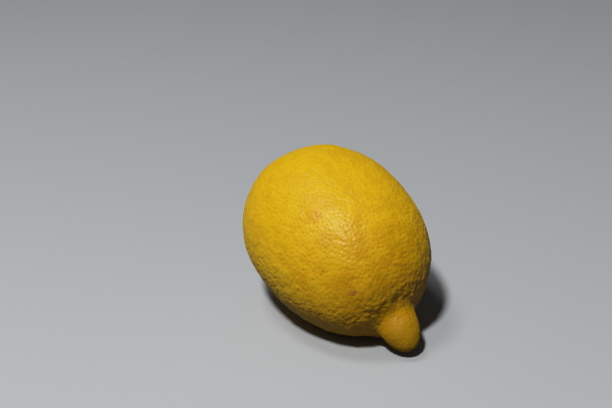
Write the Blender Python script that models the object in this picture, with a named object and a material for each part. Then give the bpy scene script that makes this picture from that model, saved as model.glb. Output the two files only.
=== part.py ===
# A ripe lemon lying on its side, its blunt nipple hanging a little lower than its stem end.
# The fruit is one solid, and the dry calyx with its clipped stalk is the second.
# The fruit is drawn along its own axis, nipple towards +X, and an empty tilts it into its resting pose.

import math

import bmesh
import bpy
from mathutils import Matrix, Vector, noise

MM = 0.001

# Driving dimensions of the whole fruit, in millimetres
GIRTH = 61.1
NIPPLE_TO_MIDDLE = 53.8
STEM_TO_MIDDLE = 35.4
NIPPLE_WIDTH = 14.9
RESTING_TILT = math.radians(13.0)
FLAT_SPOT_DEPTH = 0.75

# Body, worked out from the girth
BODY_RADIUS = GIRTH / 2
NOSE_REACH = 1.389 * BODY_RADIUS
NOSE_LEAN = 0.077
NOSE_FULLNESS = 2.28
STEM_FULLNESS = 2.24

# Nipple, worked out from its width
NIPPLE_RADIUS = NIPPLE_WIDTH / 2
NIPPLE_LENGTH = 1.97 * NIPPLE_RADIUS
NIPPLE_FULLNESS = 2.22
NIPPLE_BLEND = 0.33 * NIPPLE_RADIUS
NIPPLE_STARTS = 0.4 * NOSE_REACH
SCAR_RADIUS = 0.3 * NIPPLE_RADIUS
SCAR_DEPTH = 0.5

# The furrow that rings the nipple, deepest on one side
FURROW_STATION = NIPPLE_TO_MIDDLE - 13.5
FURROW_WIDTH = 2.6
FURROW_DEPTH = 1.3
FURROW_SHALLOWEST = 0.15
FURROW_ANGLE = math.radians(275.0)

# The nose droops along a gentle curve that starts just behind the middle of the fruit
DROOP = math.radians(31.0)
DROOP_STARTS = -4.2
DROOP_ENDS = 45.6
DROOP_SIDEWAYS = math.radians(13.2)

# Stem end: a dimple for the calyx inside a low ribbed collar
DIMPLE_RADIUS = 6.6
DIMPLE_FLOOR_RADIUS = 2.4
DIMPLE_DEPTH = 1.9
COLLAR_RADIUS = 8.6
COLLAR_WIDTH = 2.8
COLLAR_HEIGHT = 0.9
COLLAR_RIBS = 9
COLLAR_RIB_HEIGHT = 0.28

# Relief that shows from a step away
LUMP_SIZE = 15.0
LUMP_HEIGHT = 0.42
NOSE_LUMP_SIZE = 8.0
NOSE_LUMP_HEIGHT = 0.4
NOSE_LUMP_STATION = 32.0
NOSE_LUMP_SPREAD = 9.0
NOSE_RIBS = 7
NOSE_RIB_HEIGHT = 0.22
OUT_OF_ROUND = 0.22
OUT_OF_ROUND_ANGLE = 0.8
QUIET_RADIUS = 14.0

# Calyx and stalk stub
CALYX_RADIUS = 4.9
CALYX_LOBES = 5
CALYX_NOTCH = 0.2
CALYX_GAP = 0.35
CALYX_THICKNESS = 0.85
CALYX_EDGE = 0.6
CALYX_UNEVEN = 0.06
CALYX_SHARES = (0.3, 0.5, 0.68, 0.85, 1.0)
STUB_RADIUS = 1.7
STUB_SHARE = STUB_RADIUS / CALYX_RADIUS
STUB_HEIGHT = 3.4
STUB_SHARES = (0.1, 0.55, 1.0)
STUB_CHAMFER = 0.3
STUB_CUT_SLOPE = 0.22

# Mesh density
FRUIT_RINGS = 62
FRUIT_SEGMENTS = 76
END_CROWDING = 0.2
SPINE_STEPS = 12
CALYX_SEGMENTS = 40
CUT_MERGE = 0.0001
SMOOTH_ANGLE = math.radians(50.0)


def clear_scene():
    for item in list(bpy.data.objects):
        bpy.data.objects.remove(item, do_unlink=True)


def smooth_step(value):
    value = min(max(value, 0.0), 1.0)
    return value * value * (3.0 - 2.0 * value)


def smooth_max(first, second, softness):
    return 0.5 * (first + second + math.hypot(first - second, softness))


def bell(value, centre, width):
    return math.exp(-((value - centre) / width) ** 2)


def toward(angle, centre):
    """1 on the side that faces centre, 0 on the side opposite."""
    return 0.5 + 0.5 * math.cos(angle - centre)


def nose_reach(angle):
    """Station where the plain body closes, further out on the low side."""
    return NOSE_REACH * (1.0 + NOSE_LEAN * math.cos(angle))


def body_radius(station, angle):
    """Radius of the plain body, without its nipple."""
    if station > 0:
        fullness = NOSE_FULLNESS
        share = station / nose_reach(angle)
    else:
        fullness = STEM_FULLNESS
        share = -station / STEM_TO_MIDDLE
    return BODY_RADIUS * math.sqrt(max(0.0, 1.0 - min(share, 1.0) ** fullness))


def nipple_share(station):
    """0 where the nipple is widest, and 1 at its tip."""
    return max(0.0, 1.0 - (NIPPLE_TO_MIDDLE - station) / NIPPLE_LENGTH)


def nipple_radius(station):
    return NIPPLE_RADIUS * math.sqrt(1.0 - nipple_share(station) ** NIPPLE_FULLNESS)


def relief(station, angle, radius):
    """Height of the low lumps and ribs, in millimetres."""
    around = Vector((station, radius * math.cos(angle), radius * math.sin(angle)))
    lumps = LUMP_HEIGHT * noise.noise(around / LUMP_SIZE)
    lumps += OUT_OF_ROUND * math.cos(3.0 * angle + OUT_OF_ROUND_ANGLE)
    near_nose = bell(station, NOSE_LUMP_STATION, NOSE_LUMP_SPREAD)
    lumps += near_nose * NOSE_LUMP_HEIGHT * noise.noise(around / NOSE_LUMP_SIZE)
    lumps += near_nose * NOSE_RIB_HEIGHT * math.cos(NOSE_RIBS * angle)
    fade = smooth_step(radius / QUIET_RADIUS)
    return lumps * fade


def fruit_radius(station, angle):
    """Distance from the spine to the skin at a station along the spine."""
    radius = body_radius(station, angle)
    if station > NIPPLE_STARTS:
        softness = NIPPLE_BLEND * (1.0 - nipple_share(station) ** 2)
        radius = smooth_max(radius, nipple_radius(station), softness)
        depth = FURROW_SHALLOWEST + (1.0 - FURROW_SHALLOWEST) * toward(angle, FURROW_ANGLE)
        radius -= FURROW_DEPTH * depth * bell(station, FURROW_STATION, FURROW_WIDTH)
    return radius + relief(station, angle, radius)


def stem_end_height(radius, angle):
    """How far the collar stands out, or the dimple sinks in, at a distance from the stem axis."""
    ribbed = COLLAR_HEIGHT + COLLAR_RIB_HEIGHT * math.cos(COLLAR_RIBS * angle)
    height = ribbed * bell(radius, COLLAR_RADIUS, COLLAR_WIDTH)
    slope = (radius - DIMPLE_FLOOR_RADIUS) / (DIMPLE_RADIUS - DIMPLE_FLOOR_RADIUS)
    return height - DIMPLE_DEPTH * (1.0 - smooth_step(slope))


def stem_end_depth(radius, angle):
    """X of the skin around the stem axis, where the body closes."""
    closing = (1.0 - (radius / BODY_RADIUS) ** 2) ** (1.0 / STEM_FULLNESS)
    return -STEM_TO_MIDDLE * closing - stem_end_height(radius, angle)


def ring_stations():
    """Stations along the spine, crowded towards both ends where the skin turns."""
    middle = (NIPPLE_TO_MIDDLE - STEM_TO_MIDDLE) / 2
    half = (NIPPLE_TO_MIDDLE + STEM_TO_MIDDLE) / 2
    stations = []
    for ring in range(1, FRUIT_RINGS + 1):
        share = ring / (FRUIT_RINGS + 1)
        turn = math.pi * share - END_CROWDING * math.sin(2.0 * math.pi * share)
        stations.append(middle - half * math.cos(turn))
    return stations


def spine_frame(station):
    """Direction of the spine at a station, and the direction of the low side across it."""
    droop = DROOP * smooth_step((station - DROOP_STARTS) / (DROOP_ENDS - DROOP_STARTS))
    down = Vector((0.0, math.sin(DROOP_SIDEWAYS), -math.cos(DROOP_SIDEWAYS)))
    forward = Vector((math.cos(droop), 0.0, 0.0)) + math.sin(droop) * down
    low_side = Vector((-math.sin(droop), 0.0, 0.0)) + math.cos(droop) * down
    return forward, low_side


def spine_point(station):
    """Point of the spine, which is straight up to where the droop starts."""
    if station <= DROOP_STARTS:
        return Vector((station, 0.0, 0.0))
    point = Vector((DROOP_STARTS, 0.0, 0.0))
    step = (station - DROOP_STARTS) / SPINE_STEPS
    for part in range(SPINE_STEPS):
        point += spine_frame(DROOP_STARTS + (part + 0.5) * step)[0] * step
    return point


def fruit_ring(station):
    """Points of the skin around one station of the spine."""
    forward, low_side = spine_frame(station)
    across = forward.cross(low_side)
    centre = spine_point(station)
    points = []
    for segment in range(FRUIT_SEGMENTS):
        angle = 2.0 * math.pi * segment / FRUIT_SEGMENTS
        radius = fruit_radius(station, angle)
        point = centre + radius * (math.cos(angle) * low_side + math.sin(angle) * across)
        if station < 0:
            point.x -= stem_end_height(radius, angle)
        tip_distance = radius / SCAR_RADIUS
        if station > NOSE_REACH and tip_distance < 1.0:
            point -= forward * SCAR_DEPTH * (1.0 - smooth_step(tip_distance))
        points.append(point)
    return points


def close_rings(mesh_name, rings, first_pole, last_pole):
    """Closed mesh through rings of points, with a point at each end, faces outwards."""
    shape = bmesh.new()
    loops = []
    for ring in rings:
        loops.append([shape.verts.new(point * MM) for point in ring])
    start = shape.verts.new(first_pole * MM)
    end = shape.verts.new(last_pole * MM)
    count = len(rings[0])
    for here, there in zip(loops, loops[1:]):
        for index in range(count):
            following = (index + 1) % count
            shape.faces.new((here[index], here[following], there[following], there[index]))
    for index in range(count):
        following = (index + 1) % count
        shape.faces.new((start, loops[0][following], loops[0][index]))
        shape.faces.new((end, loops[-1][index], loops[-1][following]))
    bmesh.ops.recalc_face_normals(shape, faces=shape.faces)
    mesh = bpy.data.meshes.new(mesh_name)
    shape.to_mesh(mesh)
    shape.free()
    return mesh


def cut_flat_spot(mesh, tilt):
    """Shaves the lowest part of the tilted fruit to the plane that it rests on."""
    heights = [(tilt @ vertex.co).z for vertex in mesh.vertices]
    level = min(heights) + FLAT_SPOT_DEPTH * MM
    up = tilt.inverted() @ Vector((0.0, 0.0, 1.0))
    shape = bmesh.new()
    shape.from_mesh(mesh)
    parts = list(shape.verts) + list(shape.edges) + list(shape.faces)
    cut = bmesh.ops.bisect_plane(shape, geom=parts, dist=CUT_MERGE * MM, plane_co=up * level, plane_no=up,
                                 clear_inner=True)
    rim = [part for part in cut["geom_cut"] if isinstance(part, bmesh.types.BMEdge)]
    bmesh.ops.holes_fill(shape, edges=rim, sides=0)
    bmesh.ops.recalc_face_normals(shape, faces=shape.faces)
    shape.to_mesh(mesh)
    shape.free()
    return level


def principled(name, colour, roughness):
    material = bpy.data.materials.new(name)
    material.use_nodes = True
    shader = material.node_tree.nodes["Principled BSDF"]
    shader.inputs["Base Color"].default_value = (*colour, 1.0)
    shader.inputs["Roughness"].default_value = roughness
    shader.inputs["Metallic"].default_value = 0.0
    return material


def add_object(name, mesh, material, parent):
    mesh.shade_smooth()
    mesh.set_sharp_from_angle(angle=SMOOTH_ANGLE)
    mesh.materials.append(material)
    item = bpy.data.objects.new(name, mesh)
    bpy.context.scene.collection.objects.link(item)
    item.parent = parent
    return item


def make_fruit(tilt):
    rings = [fruit_ring(station) for station in ring_stations()]
    stem_pole = Vector((stem_end_depth(0.0, 0.0), 0.0, 0.0))
    nipple_pole = spine_point(NIPPLE_TO_MIDDLE) - spine_frame(NIPPLE_TO_MIDDLE)[0] * SCAR_DEPTH
    mesh = close_rings("fruit", rings, stem_pole, nipple_pole)
    level = cut_flat_spot(mesh, tilt)
    return mesh, level


def lobed_radius(share, angle):
    """Radius of the calyx at a share of its full size, notched between its lobes."""
    notched = 1.0 - CALYX_NOTCH * toward(CALYX_LOBES * angle, math.pi)
    uneven = 1.0 + CALYX_UNEVEN * math.cos(2.0 * angle)
    depth = smooth_step((share - STUB_SHARE) / (1.0 - STUB_SHARE))
    return CALYX_RADIUS * share * (1.0 + (notched * uneven - 1.0) * depth)


def calyx_point(radius, angle, height):
    """Point of the calyx at a height over the dimple, which the calyx clears by its gap."""
    x = stem_end_depth(radius, angle) - CALYX_GAP - height
    return Vector((x, radius * math.cos(angle), radius * math.sin(angle)))


def calyx_blade_ring(share, height):
    angles = [2.0 * math.pi * segment / CALYX_SEGMENTS for segment in range(CALYX_SEGMENTS)]
    return [calyx_point(lobed_radius(share, angle), angle, height) for angle in angles]


def stub_ring(radius, share):
    """Ring of the stalk stub at a share of its height, cut on a slope at the top."""
    foot = stem_end_depth(0.0, 0.0) - CALYX_GAP - CALYX_THICKNESS
    points = []
    for segment in range(CALYX_SEGMENTS):
        angle = 2.0 * math.pi * segment / CALYX_SEGMENTS
        side = radius * math.cos(angle)
        x = foot - share * (STUB_HEIGHT + STUB_CUT_SLOPE * side)
        points.append(Vector((x, side, radius * math.sin(angle))))
    return points


def make_calyx():
    """Lobed disc that follows the dimple, with the clipped stub standing from its middle."""
    rings = [calyx_blade_ring(share, 0.0) for share in CALYX_SHARES]
    for share in reversed(CALYX_SHARES[1:]):
        thinning = (share - STUB_SHARE) / (1.0 - STUB_SHARE)
        rings.append(calyx_blade_ring(share, CALYX_THICKNESS + thinning * (CALYX_EDGE - CALYX_THICKNESS)))
    for share in STUB_SHARES:
        rings.append(stub_ring(STUB_RADIUS, share))
    rings.append(stub_ring(STUB_RADIUS - STUB_CHAMFER, 1.0 + STUB_CHAMFER / STUB_HEIGHT))
    under_middle = calyx_point(0.0, 0.0, 0.0)
    top_middle = calyx_point(0.0, 0.0, CALYX_THICKNESS + STUB_HEIGHT + STUB_CHAMFER)
    return close_rings("calyx_button", rings, under_middle, top_middle)


def stand_on_ground(empty, meshes, level):
    """Puts the flat spot at z = 0 and the middle of the whole lemon's box over the origin."""
    tilt = empty.rotation_euler.to_matrix()
    corners = [tilt @ vertex.co for mesh in meshes for vertex in mesh.vertices]
    middle = []
    for axis in range(2):
        values = [corner[axis] for corner in corners]
        middle.append((min(values) + max(values)) / 2)
    empty.location = (-middle[0], -middle[1], -level)


def main():
    clear_scene()
    empty = bpy.data.objects.new("resting_pose", None)
    empty.rotation_euler = (0.0, RESTING_TILT, 0.0)
    bpy.context.scene.collection.objects.link(empty)

    peel = principled("peel", (0.68, 0.40, 0.02), 0.42)
    dry_calyx = principled("dry_calyx", (0.16, 0.12, 0.05), 0.8)

    tilt = Matrix.Rotation(RESTING_TILT, 3, "Y")
    fruit_mesh, level = make_fruit(tilt)
    fruit = add_object("fruit", fruit_mesh, peel, empty)
    calyx = add_object("calyx_button", make_calyx(), dry_calyx, empty)
    stand_on_ground(empty, [fruit.data, calyx.data], level)


main()
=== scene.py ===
# A ripe lemon on a pale floor: its pitted, waxy peel, and its dry calyx with a clipped stalk.
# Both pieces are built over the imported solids, which stay as the frame.

import math

import bmesh
import bpy
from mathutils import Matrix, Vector, noise
from mathutils.bvhtree import BVHTree


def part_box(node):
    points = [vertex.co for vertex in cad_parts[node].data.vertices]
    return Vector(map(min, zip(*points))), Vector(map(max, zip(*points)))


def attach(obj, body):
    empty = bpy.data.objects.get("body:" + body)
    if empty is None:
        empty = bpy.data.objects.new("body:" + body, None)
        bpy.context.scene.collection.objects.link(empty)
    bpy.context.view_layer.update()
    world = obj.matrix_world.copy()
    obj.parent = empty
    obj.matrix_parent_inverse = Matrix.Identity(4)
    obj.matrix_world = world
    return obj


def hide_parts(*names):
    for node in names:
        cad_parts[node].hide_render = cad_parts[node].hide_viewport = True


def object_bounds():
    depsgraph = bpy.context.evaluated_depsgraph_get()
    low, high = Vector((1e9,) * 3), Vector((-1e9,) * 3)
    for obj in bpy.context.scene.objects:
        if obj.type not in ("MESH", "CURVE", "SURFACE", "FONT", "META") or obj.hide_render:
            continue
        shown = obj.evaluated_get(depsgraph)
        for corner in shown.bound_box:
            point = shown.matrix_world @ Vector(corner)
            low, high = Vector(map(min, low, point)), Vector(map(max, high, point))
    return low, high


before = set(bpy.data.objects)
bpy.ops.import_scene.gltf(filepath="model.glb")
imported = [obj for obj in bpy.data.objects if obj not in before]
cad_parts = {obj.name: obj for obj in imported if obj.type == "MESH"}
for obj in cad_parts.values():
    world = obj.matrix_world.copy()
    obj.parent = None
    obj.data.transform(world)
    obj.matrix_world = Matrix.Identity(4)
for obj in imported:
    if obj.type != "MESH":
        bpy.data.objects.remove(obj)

CAD_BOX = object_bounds()
MM = 0.001

# Driving dimensions, measured on the frame, and the tilt that the fruit rests at
FRUIT_LOW, FRUIT_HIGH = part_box("fruit")
GIRTH = FRUIT_HIGH.y - FRUIT_LOW.y
BOX_MIDDLE = (CAD_BOX[0] + CAD_BOX[1]) / 2
RESTING_TILT = math.radians(13.0)

# Camera, as the photograph was taken
PHOTO_WIDTH = 612
PHOTO_HEIGHT = 408
FIELD_OF_VIEW = math.radians(27.0)
CAMERA_AZIMUTH = math.radians(56.71)
CAMERA_ELEVATION = math.radians(26.18)
CAMERA_DISTANCE = 7.565 * GIRTH
CAMERA_NEAR_CLIP = 10.0 * MM
MIDDLE_PIXEL = (337.9, 238.4)
PIXEL_FOCUS = PHOTO_WIDTH / 2 / math.tan(FIELD_OF_VIEW / 2)

# Studio light
SOFTBOX_DISTANCE = 21.0 * GIRTH
KEY_SIZE = 2.2 * GIRTH
KEY_AZIMUTH = 33.0
KEY_ELEVATION = 57.0
KEY_POWER = 12.0
FILL_SIZE = 5.0 * GIRTH
FILL_AZIMUTH = -20.0
FILL_ELEVATION = 72.0
FILL_POWER = 2.6
LIGHT_COLOUR = (1.0, 0.99, 0.95)
WORLD_COLOUR = (0.92, 0.95, 1.0)
WORLD_STRENGTH = 0.04
COMBINED_CURVE = 3
TONE_CURVE = ((0.0, 0.0), (0.11, 0.088), (0.36, 0.345), (0.55, 0.575), (0.76, 0.765), (1.0, 0.87))

# Floor: the camera sees it paler than it is to the light that it throws back
FLOOR_SIZE = 100.0 * GIRTH
FLOOR_COLOUR = (0.55, 0.57, 0.61)
FLOOR_BOUNCE = (0.20, 0.20, 0.21)
FLOOR_ROUGHNESS = 0.85

# Noise: how many finer layers are added to its lumps
LUMP_DETAIL = 1.0
NOISE_DETAIL = 2.0
RAGGED_DETAIL = 3.0

# Peel mesh
MERGE_DISTANCE = 0.001 * MM
FLAT_PAIR_ANGLE = math.radians(40.0)
PEEL_SUBDIVISIONS = 2
PEEL_VOXEL = 0.475 * MM
POSITION_SOFTENING = 3
NORMAL_SOFTENING = 3

# Peel relief, by the names of its tree's inputs: sizes in metres, and plain numbers
PEEL_RELIEF = {
    "Gland Spacing": 1.3 * MM,
    "Gland Radius": 0.8 * MM,
    "Smallest Gland": 0.70,
    "Largest Gland": 1.15,
    "Gland Depth": 0.27 * MM,
    "Shallowest Gland": 0.35,
    "Deepest Gland": 1.25,
    "Gland Crowding": 7.0,
    "Pebble Size": 1.9 * MM,
    "Pebble Height": 0.46 * MM,
    "Pebble Wander": 1.6,
    "Pebble Least": 0.4,
    "Swell Size": 3.4 * MM,
    "Swell Height": 0.3 * MM,
    "Lump Size": 3.6 * MM,
    "Lump Height": 0.5 * MM,
    "Lump Distance": 22.0 * MM,
    "Lump Reach": 9.5 * MM,
    "Tip Core": 0.6,
    "Tip Relief": 0.65,
    "Calm Reach": 6.6 * MM,
    "Calm Core": 0.7,
    "Flat Rise": 0.5 * MM,
}
GLAND_SEED = 11
RADIUS_SEED = 1
DEPTH_SEED = 2

# Marks on the peel, by their place in the photograph
SCAR_PIXEL = (353.0, 293.5)
SCAR_SIZE = 1.8 * MM
NOSE_SCAR_SIZE = 2.0 * MM
SCAR_RAGGEDNESS = 0.9
SCAR_TINT = 0.7
UPPER_SCUFF_PIXEL = (315.0, 215.0)
UPPER_SCUFF_SIZE = 3.4 * MM
SIDE_SCUFF_PIXEL = (385.0, 263.0)
SIDE_SCUFF_SIZE = 3.0 * MM
SCUFF_RAGGEDNESS = 1.4
SCUFF_TINT = 0.35

# Peel colours, and how far and how strongly each one reaches
RIPE_YELLOW = (0.80, 0.525, 0.010)
# Darker towards the nose: partly the peel's own deeper colour, partly painted shade
DEEP_YELLOW_AND_SHADE = (0.62, 0.345, 0.003)
# Painted shade in the oil gland pits
PIT_SHADE_YELLOW = (0.56, 0.265, 0.002)
STEM_GREEN = (0.56, 0.45, 0.016)
# Gold on the nipple: partly its own colour, partly painted shade
NOSE_GOLD_AND_SHADE = (0.50, 0.275, 0.003)
SCUFF_TAN = (0.62, 0.27, 0.012)
SCAR_BROWN = (0.42, 0.17, 0.04)
DEEP_REACH = 0.3 * GIRTH
RIPE_REACH = 1.05 * GIRTH
BLOTCH_SWING = 0.2
PIT_SHADE_TINT = 0.35
STEM_TINT_SIZE = 0.26 * GIRTH
STEM_TINT_RAGGEDNESS = 0.7
STEM_TINT = 0.6
NIPPLE_TINT_STARTS = 0.14 * GIRTH
NIPPLE_TINT_ENDS = 0.28 * GIRTH
NIPPLE_TINT = 0.8
PEEL_BLOTCH_SIZE = 7.0 * MM
PEEL_FLECK_SIZE = 1.1 * MM

# Peel finish
GRAIN_SPAN = (0.2, 0.8)
PEEL_ROUGHNESS = (0.40, 0.54)
DULL_ROUGHENING = 0.3
PEEL_COAT = 0.05
PEEL_COAT_ROUGHNESS = 0.2
PEEL_DIFFUSE_ROUGHNESS = 0.3
PEEL_SPECULAR = 0.32
PEEL_IOR = 1.45
PEEL_GRAIN_STRENGTH = 0.6
PEEL_GRAIN_HEIGHT = 0.05 * MM

# Blotches, flecks, grain and ragged spots, for any plant surface
BLOTCH_SPAN = (0.32, 0.68)
FLECK_EDGE = 0.06
GRAIN_SHARE = 0.4
RAG_SHARE = 0.5
SPOT_CORE = 0.35

# Calyx shape
CALYX_SUBDIVISIONS = 3
RIDGE_COUNT = 26
RIDGE_HEIGHT = 0.10 * MM
RIDGE_WANDER = 1.6
RIDGE_WANDER_SIZE = 2.0 * MM
WRINKLE_SIZE = 0.8 * MM
WRINKLE_HEIGHT = 0.09 * MM
STUB_RADIUS = 1.7 * MM
CUT_THICKNESS = 0.8 * MM
CUT_HOLLOW = 0.22 * MM

# Calyx colours and finish
CALYX_BROWN = (0.17, 0.11, 0.042)
CALYX_OLIVE = (0.20, 0.185, 0.06)
CALYX_DARK = (0.07, 0.045, 0.02)
CUT_STRAW = (0.48, 0.37, 0.19)
CUT_CORE = (0.30, 0.21, 0.10)
CALYX_BLOTCH_SIZE = 2.2 * MM
CALYX_FLECK_SIZE = 0.5 * MM
CALYX_FLECK_SHARE = 0.36
RIDGE_TINT = 0.5
FLECK_TINT = 0.6
CALYX_ROUGHNESS = (0.62, 0.9)
CALYX_GRAIN_STRENGTH = 0.8
CALYX_GRAIN_HEIGHT = 0.08 * MM


def direction_to(azimuth, elevation):
    """Direction towards an azimuth and elevation, where azimuth 0 is on the -Y side."""
    level = math.cos(elevation)
    return Vector((math.sin(azimuth) * level, -math.cos(azimuth) * level, math.sin(elevation)))


def camera_axes():
    """Right, up and back of the camera that took the photograph."""
    back = direction_to(CAMERA_AZIMUTH, CAMERA_ELEVATION)
    right = Vector((math.cos(CAMERA_AZIMUTH), math.sin(CAMERA_AZIMUTH), 0.0))
    return right, back.cross(right), back


def pixel_direction(pixel):
    """Direction from the camera through a pixel of the photograph."""
    right, up, back = camera_axes()
    across = pixel[0] - PHOTO_WIDTH / 2
    down = pixel[1] - PHOTO_HEIGHT / 2
    return (right * across - up * down - back * PIXEL_FOCUS).normalized()


EYE = BOX_MIDDLE - pixel_direction(MIDDLE_PIXEL) * CAMERA_DISTANCE


def make_camera():
    camera = bpy.data.cameras.new("photo_camera")
    camera.angle = FIELD_OF_VIEW
    camera.clip_start = CAMERA_NEAR_CLIP
    item = bpy.data.objects.new("photo_camera", camera)
    item.location = EYE
    item.rotation_euler = (-camera_axes()[2]).to_track_quat("-Z", "Y").to_euler()
    bpy.context.scene.collection.objects.link(item)
    bpy.context.scene.camera = item


def skin_tree():
    """The CAD fruit as a tree for finding points on its skin."""
    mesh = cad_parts["fruit"].data
    points = [vertex.co for vertex in mesh.vertices]
    faces = [tuple(face.vertices) for face in mesh.polygons]
    return BVHTree.FromPolygons(points, faces)


def skin_under(tree, pixel):
    """Point of the skin that shows at a pixel of the photograph."""
    return tree.ray_cast(EYE, pixel_direction(pixel))[0]


def nose_tip():
    """The point of the fruit that lies furthest forward and down."""
    points = [vertex.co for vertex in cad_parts["fruit"].data.vertices]
    return max(points, key=lambda point: point.x - point.z).copy()


def mark_places():
    """Points on the skin that the relief and the colours are placed by."""
    tree = skin_tree()
    low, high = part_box("calyx_button")
    return {
        "stem": (low + high) / 2,
        "nose": nose_tip(),
        "scar": skin_under(tree, SCAR_PIXEL),
        "upper_scuff": skin_under(tree, UPPER_SCUFF_PIXEL),
        "side_scuff": skin_under(tree, SIDE_SCUFF_PIXEL),
    }


def set_socket(socket, value):
    """Links a socket where the value is one, and otherwise sets its own value."""
    if isinstance(value, bpy.types.NodeSocket):
        socket.id_data.links.new(value, socket)
    else:
        socket.default_value = value


def add_node(tree, kind, inputs=None, **settings):
    """Adds a node, and sets or links its inputs by name."""
    made = tree.nodes.new(kind)
    for name, value in settings.items():
        setattr(made, name, value)
    for name, value in (inputs or {}).items():
        set_socket(made.inputs[name], value)
    return made


def arithmetic(tree, operation, *values):
    made = add_node(tree, "ShaderNodeMath", operation=operation)
    for socket, value in zip(made.inputs, values):
        set_socket(socket, value)
    return made.outputs[0]


def vector_arithmetic(tree, operation, *values):
    made = add_node(tree, "ShaderNodeVectorMath", operation=operation)
    for socket, value in zip(made.inputs, values):
        set_socket(socket, value)
    return made.outputs["Value" if operation == "DISTANCE" else "Vector"]


def scaled(tree, vector, factor):
    made = add_node(tree, "ShaderNodeVectorMath", operation="SCALE")
    set_socket(made.inputs[0], vector)
    set_socket(made.inputs["Scale"], factor)
    return made.outputs["Vector"]


def ramp(tree, value, start, end, low=0.0, high=1.0):
    """Value carried smoothly from start and end to low and high, and held beyond them."""
    wires = {"Value": value, "From Min": start, "From Max": end, "To Min": low, "To Max": high}
    return add_node(tree, "ShaderNodeMapRange", wires, interpolation_type="SMOOTHSTEP").outputs[0]


def mix_colours(tree, share, first, second):
    made = add_node(tree, "ShaderNodeMix", data_type="RGBA")
    sockets = {socket.identifier: socket for socket in made.inputs}
    set_socket(sockets["Factor_Float"], share)
    for name, colour in (("A_Color", first), ("B_Color", second)):
        set_socket(sockets[name], (*colour, 1.0) if isinstance(colour, tuple) else colour)
    return next(socket for socket in made.outputs if socket.identifier == "Result_Color")


def tinted(tree, colour, mask, strength, tint):
    """The colour, moved towards a tint where the mask is, at most by strength."""
    return mix_colours(tree, arithmetic(tree, "MULTIPLY", mask, strength), colour, tint)


def soft_noise(tree, place, size, detail=NOISE_DETAIL):
    """Noise from 0 to 1 whose lumps are about as wide as size."""
    wires = {"Vector": place, "Scale": arithmetic(tree, "DIVIDE", 1.0, size), "Detail": detail}
    return add_node(tree, "ShaderNodeTexNoise", wires).outputs[0]


def swing(tree, place, size, height, detail=NOISE_DETAIL):
    """Soft noise that moves the skin out or in by at most height."""
    centred = arithmetic(tree, "SUBTRACT", soft_noise(tree, place, size, detail), 0.5)
    return arithmetic(tree, "MULTIPLY", centred, arithmetic(tree, "MULTIPLY", height, 2.0))


def blurred(tree, vector, steps):
    """A vector of the mesh's points, averaged with its neighbours' in steps."""
    made = add_node(tree, "GeometryNodeBlurAttribute", data_type="FLOAT_VECTOR")
    set_socket(made.inputs["Value"], vector)
    set_socket(made.inputs["Iterations"], steps)
    return made.outputs["Value"]


def add_inputs(tree, floats=(), vectors=(), counts=()):
    """Gives a tree its named inputs."""
    kinds = (("NodeSocketFloat", floats), ("NodeSocketVector", vectors), ("NodeSocketInt", counts))
    for kind, names in kinds:
        for name in names:
            tree.interface.new_socket(name, in_out="INPUT", socket_type=kind)


def gland_sink(tree, given, skin, place):
    """How deep the oil glands press in, each with its own size and depth."""
    spacing = given["Gland Spacing"]
    crowd = arithmetic(tree, "DIVIDE", given["Gland Crowding"], arithmetic(tree, "POWER", spacing, 2.0))
    wires = {"Mesh": skin, "Distance Min": spacing, "Density Max": crowd, "Seed": given["Gland Seed"]}
    scatter = add_node(tree, "GeometryNodeDistributePointsOnFaces", wires, distribute_method="POISSON")
    glands = scatter.outputs["Points"]
    nearest = add_node(tree, "GeometryNodeSampleNearest", {"Geometry": glands}, domain="POINT").outputs[0]

    def at_nearest(value, kind):
        wires = {"Geometry": glands, "Value": value, "Index": nearest}
        return add_node(tree, "GeometryNodeSampleIndex", wires, data_type=kind).outputs[0]

    def drawn(lowest, highest, seed):
        made = add_node(tree, "FunctionNodeRandomValue", data_type="FLOAT")
        ends = [socket for socket in made.inputs if socket.type == "VALUE" and socket.enabled]
        set_socket(ends[0], lowest)
        set_socket(ends[1], highest)
        set_socket(made.inputs["Seed"], seed)
        return at_nearest(next(socket for socket in made.outputs if socket.enabled), "FLOAT")

    away = vector_arithmetic(tree, "DISTANCE", place, at_nearest(place, "FLOAT_VECTOR"))
    size_share = drawn(given["Smallest Gland"], given["Largest Gland"], RADIUS_SEED)
    depth_share = drawn(given["Shallowest Gland"], given["Deepest Gland"], DEPTH_SEED)
    radius = arithmetic(tree, "MULTIPLY", given["Gland Radius"], size_share)
    depth = arithmetic(tree, "MULTIPLY", given["Gland Depth"], depth_share)
    pit = ramp(tree, arithmetic(tree, "DIVIDE", away, radius), 0.0, 1.0, 1.0, 0.0)
    return arithmetic(tree, "MULTIPLY", pit, depth)


def pebbles(tree, given, place):
    """Pebbled skin: cells with wandering edges, high in their middles and low in the creases."""
    scale = arithmetic(tree, "DIVIDE", 1.0, given["Pebble Size"])
    wander = add_node(tree, "ShaderNodeTexNoise", {"Vector": place, "Scale": scale}).outputs["Color"]
    reach = arithmetic(tree, "MULTIPLY", given["Pebble Size"], given["Pebble Wander"])
    wandered = vector_arithmetic(tree, "ADD", place, scaled(tree, wander, reach))
    cells = add_node(tree, "ShaderNodeTexVoronoi", {"Vector": wandered, "Scale": scale}).outputs["Distance"]
    return arithmetic(tree, "MULTIPLY", arithmetic(tree, "SUBTRACT", 0.5, cells), given["Pebble Height"])


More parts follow.
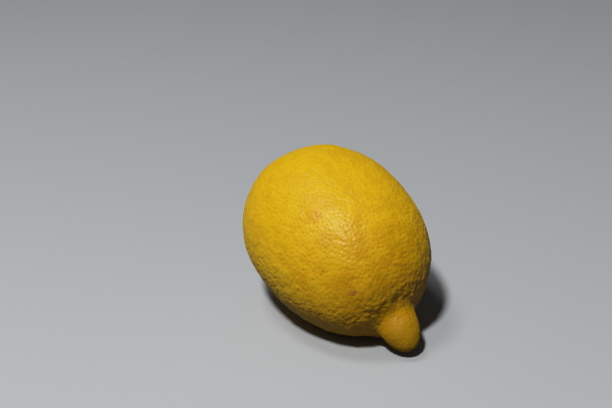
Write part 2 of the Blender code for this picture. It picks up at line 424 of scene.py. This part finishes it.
def relief_share(tree, given, place, from_tip):
    """Share of the relief that stays: less on the nipple, none under the calyx or at the flat spot."""
    from_stem = vector_arithmetic(tree, "DISTANCE", place, given["Stem Middle"])
    calm_core = arithmetic(tree, "MULTIPLY", given["Calm Reach"], given["Calm Core"])
    share = ramp(tree, from_stem, calm_core, given["Calm Reach"])
    height = add_node(tree, "ShaderNodeSeparateXYZ", {"Vector": place}).outputs["Z"]
    share = arithmetic(tree, "MULTIPLY", share, ramp(tree, height, 0.0, given["Flat Rise"]))
    tip_reach = arithmetic(tree, "SUBTRACT", given["Lump Distance"], given["Lump Reach"])
    tip_core = arithmetic(tree, "MULTIPLY", tip_reach, given["Tip Core"])
    near_tip = ramp(tree, from_tip, tip_core, tip_reach, given["Tip Relief"], 1.0)
    return arithmetic(tree, "MULTIPLY", share, near_tip)


def gland_tree():
    """Geometry Nodes: evens out the skin, then presses oil glands, pebbles, swells and lumps into it."""
    tree = bpy.data.node_groups.new("oil_glands", "GeometryNodeTree")
    tree.interface.new_socket("Skin", in_out="INPUT", socket_type="NodeSocketGeometry")
    add_inputs(tree, floats=PEEL_RELIEF, vectors=("Nose Tip", "Stem Middle"), counts=("Gland Seed",))
    tree.interface.new_socket("Peel", in_out="INPUT", socket_type="NodeSocketMaterial")
    tree.interface.new_socket("Skin", in_out="OUTPUT", socket_type="NodeSocketGeometry")
    given = tree.nodes.new("NodeGroupInput").outputs

    # The skin without its facets, and the direction that it faces
    place = add_node(tree, "GeometryNodeInputPosition").outputs[0]
    wires = {"Geometry": given["Skin"], "Position": blurred(tree, place, POSITION_SOFTENING)}
    evened = add_node(tree, "GeometryNodeSetPosition", wires).outputs[0]
    normal = add_node(tree, "GeometryNodeInputNormal").outputs[0]
    outward = vector_arithmetic(tree, "NORMALIZE", blurred(tree, normal, NORMAL_SOFTENING))

    # Glands and swells all over, lumps in a band around the nose, and pebbles that are highest in that band
    sink = gland_sink(tree, given, evened, place)
    swell = swing(tree, place, given["Swell Size"], given["Swell Height"])
    from_tip = vector_arithmetic(tree, "DISTANCE", place, given["Nose Tip"])
    off_band = arithmetic(tree, "ABSOLUTE", arithmetic(tree, "SUBTRACT", from_tip, given["Lump Distance"]))
    in_band = ramp(tree, off_band, 0.0, given["Lump Reach"], 1.0, 0.0)
    lump = swing(tree, place, given["Lump Size"], given["Lump Height"], LUMP_DETAIL)
    lump = arithmetic(tree, "MULTIPLY", lump, in_band)
    pebble_share = ramp(tree, in_band, 0.0, 1.0, given["Pebble Least"], 1.0)
    pebble = arithmetic(tree, "MULTIPLY", pebbles(tree, given, place), pebble_share)
    relief = arithmetic(tree, "ADD", arithmetic(tree, "ADD", swell, lump), pebble)
    relief = arithmetic(tree, "SUBTRACT", relief, sink)
    move = arithmetic(tree, "MULTIPLY", relief, relief_share(tree, given, place, from_tip))

    # The pits are marked before the skin moves, for the painted shade that the material puts in them
    pit = arithmetic(tree, "DIVIDE", sink, given["Gland Depth"])
    wires = {"Geometry": evened, "Name": "pit", "Value": pit}
    store = add_node(tree, "GeometryNodeStoreNamedAttribute", wires, data_type="FLOAT", domain="POINT")
    wires = {"Geometry": store.outputs[0], "Offset": scaled(tree, outward, move)}
    pressed = add_node(tree, "GeometryNodeSetPosition", wires).outputs[0]
    real = add_node(tree, "GeometryNodeRealizeInstances", {"Geometry": pressed}).outputs[0]
    shaded = add_node(tree, "GeometryNodeSetShadeSmooth", {"Geometry": real}).outputs[0]
    coated = add_node(tree, "GeometryNodeSetMaterial", {"Geometry": shaded, "Material": given["Peel"]})
    set_socket(tree.nodes.new("NodeGroupOutput").inputs[0], coated.outputs[0])
    return tree


def set_modifier_inputs(modifier, values):
    """Sets a Geometry Nodes modifier's inputs, found by name, through their identifiers."""
    for item in modifier.node_group.interface.items_tree:
        if item.item_type == "SOCKET" and item.in_out == "INPUT" and item.name in values:
            modifier[item.identifier] = values[item.name]


def skin_mottle_group():
    """Shader group: soft blotches, small flecks and fine grain, for any plant surface."""
    tree = bpy.data.node_groups.new("skin_mottle", "ShaderNodeTree")
    add_inputs(tree, floats=("Blotch Size", "Fleck Size", "Fleck Share"), vectors=("Place",))
    for name in ("Blotch", "Fleck", "Grain"):
        tree.interface.new_socket(name, in_out="OUTPUT", socket_type="NodeSocketFloat")
    given = tree.nodes.new("NodeGroupInput").outputs
    made = tree.nodes.new("NodeGroupOutput").inputs
    place = given["Place"]
    blotch = soft_noise(tree, place, given["Blotch Size"], RAGGED_DETAIL)
    set_socket(made["Blotch"], ramp(tree, blotch, *BLOTCH_SPAN))
    fleck = soft_noise(tree, place, given["Fleck Size"])
    edge = arithmetic(tree, "SUBTRACT", 1.0, given["Fleck Share"])
    set_socket(made["Fleck"], ramp(tree, fleck, edge, arithmetic(tree, "ADD", edge, FLECK_EDGE)))
    grain_size = arithmetic(tree, "MULTIPLY", given["Fleck Size"], GRAIN_SHARE)
    set_socket(made["Grain"], soft_noise(tree, place, grain_size))
    return tree


def spot_group():
    """Shader group: a ragged spot round a point, 1 in its middle and 0 outside."""
    tree = bpy.data.node_groups.new("ragged_spot", "ShaderNodeTree")
    add_inputs(tree, floats=("Size", "Raggedness"), vectors=("Place", "Middle"))
    tree.interface.new_socket("Spot", in_out="OUTPUT", socket_type="NodeSocketFloat")
    given = tree.nodes.new("NodeGroupInput").outputs
    away = vector_arithmetic(tree, "DISTANCE", given["Place"], given["Middle"])
    share = arithmetic(tree, "DIVIDE", away, given["Size"])
    rag_size = arithmetic(tree, "MULTIPLY", given["Size"], RAG_SHARE)
    ragged = soft_noise(tree, given["Place"], rag_size, RAGGED_DETAIL)
    ragged = arithmetic(tree, "MULTIPLY", arithmetic(tree, "SUBTRACT", ragged, 0.5), given["Raggedness"])
    spot = ramp(tree, arithmetic(tree, "ADD", share, ragged), SPOT_CORE, 1.0, 1.0, 0.0)
    set_socket(tree.nodes.new("NodeGroupOutput").inputs["Spot"], spot)
    return tree


def use_group(tree, group, inputs):
    made = tree.nodes.new("ShaderNodeGroup")
    made.node_tree = group
    for name, value in inputs.items():
        set_socket(made.inputs[name], value)
    return made.outputs


def grain_normal(tree, skin, strength, height):
    """Normal of the finest grain, which is too fine for the mesh."""
    wires = {"Strength": strength, "Distance": height, "Height": skin["Grain"]}
    return add_node(tree, "ShaderNodeBump", wires).outputs["Normal"]


def new_material(name):
    """A material with its node tree and its shader."""
    material = bpy.data.materials.new(name)
    material.use_nodes = True
    tree = material.node_tree
    return material, tree, tree.nodes["Principled BSDF"]


def peel_material(mottle, spot, marks):
    """Waxy peel: paler towards the stem and darker towards the nose, partly painted shade; golden and dull
    on the nipple, partly painted shade; painted shade in the gland pits; a few scuffs and scars.
    """
    material, tree, shader = new_material("lemon_peel")
    place = add_node(tree, "ShaderNodeTexCoord").outputs["Object"]
    wires = {"Place": place, "Blotch Size": PEEL_BLOTCH_SIZE, "Fleck Size": PEEL_FLECK_SIZE}
    skin = use_group(tree, mottle, wires)
    pit = add_node(tree, "ShaderNodeAttribute", attribute_name="pit").outputs["Fac"]

    def spot_at(mark, size, raggedness):
        wires = {"Place": place, "Middle": marks[mark], "Size": size, "Raggedness": raggedness}
        return use_group(tree, spot, wires)["Spot"]

    from_tip = vector_arithmetic(tree, "DISTANCE", place, marks["nose"])
    # Darker towards the nose: partly the peel's own deeper colour, partly painted shade, swung by blotches
    toward_stem = ramp(tree, from_tip, DEEP_REACH, RIPE_REACH)
    blotched = ramp(tree, skin["Blotch"], 0.0, 1.0, -BLOTCH_SWING, BLOTCH_SWING)
    paler = arithmetic(tree, "ADD", toward_stem, blotched)
    colour = mix_colours(tree, paler, DEEP_YELLOW_AND_SHADE, RIPE_YELLOW)
    # Painted shade in the oil gland pits
    colour = tinted(tree, colour, pit, PIT_SHADE_TINT, PIT_SHADE_YELLOW)
    at_stem = spot_at("stem", STEM_TINT_SIZE, STEM_TINT_RAGGEDNESS)
    colour = tinted(tree, colour, at_stem, STEM_TINT, STEM_GREEN)
    # Gold on the nipple: partly its own colour, partly painted shade
    on_nipple = ramp(tree, from_tip, NIPPLE_TINT_STARTS, NIPPLE_TINT_ENDS, NIPPLE_TINT, 0.0)
    colour = mix_colours(tree, on_nipple, colour, NOSE_GOLD_AND_SHADE)

    upper_scuff = spot_at("upper_scuff", UPPER_SCUFF_SIZE, SCUFF_RAGGEDNESS)
    side_scuff = spot_at("side_scuff", SIDE_SCUFF_SIZE, SCUFF_RAGGEDNESS)
    scuffed = arithmetic(tree, "MAXIMUM", upper_scuff, side_scuff)
    colour = tinted(tree, colour, scuffed, SCUFF_TINT, SCUFF_TAN)
    scar = spot_at("scar", SCAR_SIZE, SCAR_RAGGEDNESS)
    nose_scar = spot_at("nose", NOSE_SCAR_SIZE, SCAR_RAGGEDNESS)
    scarred = arithmetic(tree, "MAXIMUM", scar, nose_scar)
    colour = tinted(tree, colour, scarred, SCAR_TINT, SCAR_BROWN)
    set_socket(shader.inputs["Base Color"], colour)

    dull = arithmetic(tree, "MAXIMUM", scarred, on_nipple)
    rough = arithmetic(tree, "ADD", ramp(tree, skin["Grain"], *GRAIN_SPAN, *PEEL_ROUGHNESS),
                       arithmetic(tree, "MULTIPLY", dull, DULL_ROUGHENING))
    set_socket(shader.inputs["Roughness"], rough)
    set_socket(shader.inputs["Coat Weight"], ramp(tree, dull, 0.0, 1.0, PEEL_COAT, 0.0))
    shader.inputs["Coat Roughness"].default_value = PEEL_COAT_ROUGHNESS
    shader.inputs["Diffuse Roughness"].default_value = PEEL_DIFFUSE_ROUGHNESS
    shader.inputs["Specular IOR Level"].default_value = PEEL_SPECULAR
    shader.inputs["IOR"].default_value = PEEL_IOR
    set_socket(shader.inputs["Normal"], grain_normal(tree, skin, PEEL_GRAIN_STRENGTH, PEEL_GRAIN_HEIGHT))
    return material


def calyx_material(mottle):
    """Dry calyx: brown and olive blotches, straw on the ridges, dark flecks and a pale cut end."""
    material, tree, shader = new_material("dry_calyx")
    place = add_node(tree, "ShaderNodeTexCoord").outputs["Object"]
    wires = {"Place": place, "Blotch Size": CALYX_BLOTCH_SIZE, "Fleck Size": CALYX_FLECK_SIZE,
             "Fleck Share": CALYX_FLECK_SHARE}
    skin = use_group(tree, mottle, wires)
    ridge = add_node(tree, "ShaderNodeAttribute", attribute_name="ridge").outputs["Fac"]
    cut = add_node(tree, "ShaderNodeAttribute", attribute_name="cut_end").outputs["Fac"]
    colour = mix_colours(tree, skin["Blotch"], CALYX_BROWN, CALYX_OLIVE)
    colour = tinted(tree, colour, ridge, RIDGE_TINT, CUT_STRAW)
    colour = tinted(tree, colour, skin["Fleck"], FLECK_TINT, CALYX_DARK)
    end = mix_colours(tree, skin["Grain"], CUT_STRAW, CUT_CORE)
    colour = mix_colours(tree, cut, colour, end)
    set_socket(shader.inputs["Base Color"], colour)
    set_socket(shader.inputs["Roughness"], ramp(tree, skin["Grain"], *GRAIN_SPAN, *CALYX_ROUGHNESS))
    set_socket(shader.inputs["Normal"], grain_normal(tree, skin, CALYX_GRAIN_STRENGTH, CALYX_GRAIN_HEIGHT))
    return material


def merged_copy(node, name):
    """New object from a CAD node's mesh, its doubles merged and its triangles paired."""
    shape = bmesh.new()
    shape.from_mesh(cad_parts[node].data)
    bmesh.ops.remove_doubles(shape, verts=shape.verts, dist=MERGE_DISTANCE)
    bmesh.ops.join_triangles(shape, faces=shape.faces, angle_face_threshold=FLAT_PAIR_ANGLE,
                             angle_shape_threshold=FLAT_PAIR_ANGLE)
    mesh = bpy.data.meshes.new(name)
    shape.to_mesh(mesh)
    shape.free()
    mesh.materials.clear()
    item = bpy.data.objects.new(name, mesh)
    bpy.context.scene.collection.objects.link(item)
    return item


def subdivide(item, levels):
    modifier = item.modifiers.new("rounding", "SUBSURF")
    modifier.levels = levels
    modifier.render_levels = levels


def bake_modifiers(item):
    """Turns an object's modifiers into a plain mesh and takes them away."""
    graph = bpy.context.evaluated_depsgraph_get()
    shown = item.evaluated_get(graph)
    mesh = bpy.data.meshes.new_from_object(shown, preserve_all_data_layers=True, depsgraph=graph)
    item.modifiers.clear()
    old = item.data
    item.data = mesh
    bpy.data.meshes.remove(old)


def make_peel(material, marks):
    """Peel: the CAD fruit with an even fine mesh, and the relief pressed into it."""
    peel = merged_copy("fruit", "peel")
    subdivide(peel, PEEL_SUBDIVISIONS)
    evener = peel.modifiers.new("even_mesh", "REMESH")
    evener.mode = "VOXEL"
    evener.voxel_size = PEEL_VOXEL
    glands = peel.modifiers.new("oil_glands", "NODES")
    glands.node_group = gland_tree()
    set_modifier_inputs(glands, {**PEEL_RELIEF, "Gland Seed": GLAND_SEED, "Nose Tip": marks["nose"],
                                 "Stem Middle": marks["stem"], "Peel": material})
    bake_modifiers(peel)
    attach(peel, "root")
    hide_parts("fruit")


def make_calyx(material):
    """Dry calyx: fine radial ridges on its lobes, wrinkles, and a hollowed, paler cut end on its stub."""
    calyx = merged_copy("calyx_button", "calyx")
    subdivide(calyx, CALYX_SUBDIVISIONS)
    bake_modifiers(calyx)
    mesh = calyx.data
    outward = Vector((-math.cos(RESTING_TILT), 0.0, math.sin(RESTING_TILT)))
    side = Vector((0.0, 1.0, 0.0))
    lift = outward.cross(side)
    middle = sum((vertex.co for vertex in mesh.vertices), Vector()) / len(mesh.vertices)
    top = max((vertex.co - middle).dot(outward) for vertex in mesh.vertices)
    normals = [vertex.normal.copy() for vertex in mesh.vertices]
    ridges = mesh.attributes.new("ridge", "FLOAT", "POINT")
    ends = mesh.attributes.new("cut_end", "FLOAT", "POINT")
    for vertex, normal, ridge, end in zip(mesh.vertices, normals, ridges.data, ends.data):
        away = vertex.co - middle
        along = away.dot(outward)
        across = math.hypot(away.dot(side), away.dot(lift))
        angle = math.atan2(away.dot(lift), away.dot(side))
        wander = RIDGE_WANDER * noise.noise(vertex.co / RIDGE_WANDER_SIZE)
        crest = 0.5 + 0.5 * math.cos(RIDGE_COUNT * angle + wander)
        wrinkle = noise.noise(vertex.co / WRINKLE_SIZE)
        facing = max(0.0, normal.dot(outward))
        at_top = facing if along > top - CUT_THICKNESS else 0.0
        ridge.value = crest * crest * (1.0 - at_top)
        end.value = at_top
        move = RIDGE_HEIGHT * crest * (1.0 - at_top) * min(1.0, across / STUB_RADIUS)
        move += WRINKLE_HEIGHT * wrinkle
        move -= CUT_HOLLOW * at_top * max(0.0, 1.0 - across / STUB_RADIUS)
        vertex.co += normal * move
    mesh.shade_smooth()
    mesh.materials.append(material)
    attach(calyx, "root")
    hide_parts("calyx_button")


def make_floor():
    shape = bmesh.new()
    bmesh.ops.create_grid(shape, x_segments=1, y_segments=1, size=FLOOR_SIZE / 2)
    mesh = bpy.data.meshes.new("floor")
    shape.to_mesh(mesh)
    shape.free()
    floor = bpy.data.objects.new("floor", mesh)
    bpy.context.scene.collection.objects.link(floor)
    material, tree, shader = new_material("pale_floor")
    seen = add_node(tree, "ShaderNodeLightPath").outputs["Is Camera Ray"]
    set_socket(shader.inputs["Base Color"], mix_colours(tree, seen, FLOOR_BOUNCE, FLOOR_COLOUR))
    shader.inputs["Roughness"].default_value = FLOOR_ROUGHNESS
    shader.inputs["Specular IOR Level"].default_value = 0.0
    mesh.materials.append(material)


def add_softbox(name, azimuth, elevation, power, size):
    """Round area light that faces the lemon from an azimuth and elevation in degrees."""
    light = bpy.data.lights.new(name, "AREA")
    light.shape = "DISK"
    light.size = size
    light.energy = power
    light.color = LIGHT_COLOUR
    item = bpy.data.objects.new(name, light)
    direction = direction_to(math.radians(azimuth), math.radians(elevation))
    item.location = BOX_MIDDLE + direction * SOFTBOX_DISTANCE
    item.rotation_euler = direction.to_track_quat("Z", "Y").to_euler()
    bpy.context.scene.collection.objects.link(item)


def make_lights():
    add_softbox("key_light", KEY_AZIMUTH, KEY_ELEVATION, KEY_POWER, KEY_SIZE)
    add_softbox("fill_light", FILL_AZIMUTH, FILL_ELEVATION, FILL_POWER, FILL_SIZE)
    world = bpy.data.worlds.new("studio")
    world.use_nodes = True
    background = world.node_tree.nodes["Background"]
    background.inputs["Color"].default_value = (*WORLD_COLOUR, 1.0)
    background.inputs["Strength"].default_value = WORLD_STRENGTH
    bpy.context.scene.world = world


def set_tone():
    """Tone curve of the camera: deeper shades, and a soft shoulder where the peel is brightest."""
    view = bpy.context.scene.view_settings
    view.view_transform = "Standard"
    view.use_curve_mapping = True
    points = view.curve_mapping.curves[COMBINED_CURVE].points
    for spot, place in zip((points[0], points[1]), (TONE_CURVE[0], TONE_CURVE[-1])):
        spot.location = place
    for place in TONE_CURVE[1:-1]:
        points.new(*place)
    view.curve_mapping.update()


make_camera()
make_lights()
set_tone()
make_floor()
places = mark_places()
mottle_group = skin_mottle_group()
make_peel(peel_material(mottle_group, spot_group(), places), places)
make_calyx(calyx_material(mottle_group))
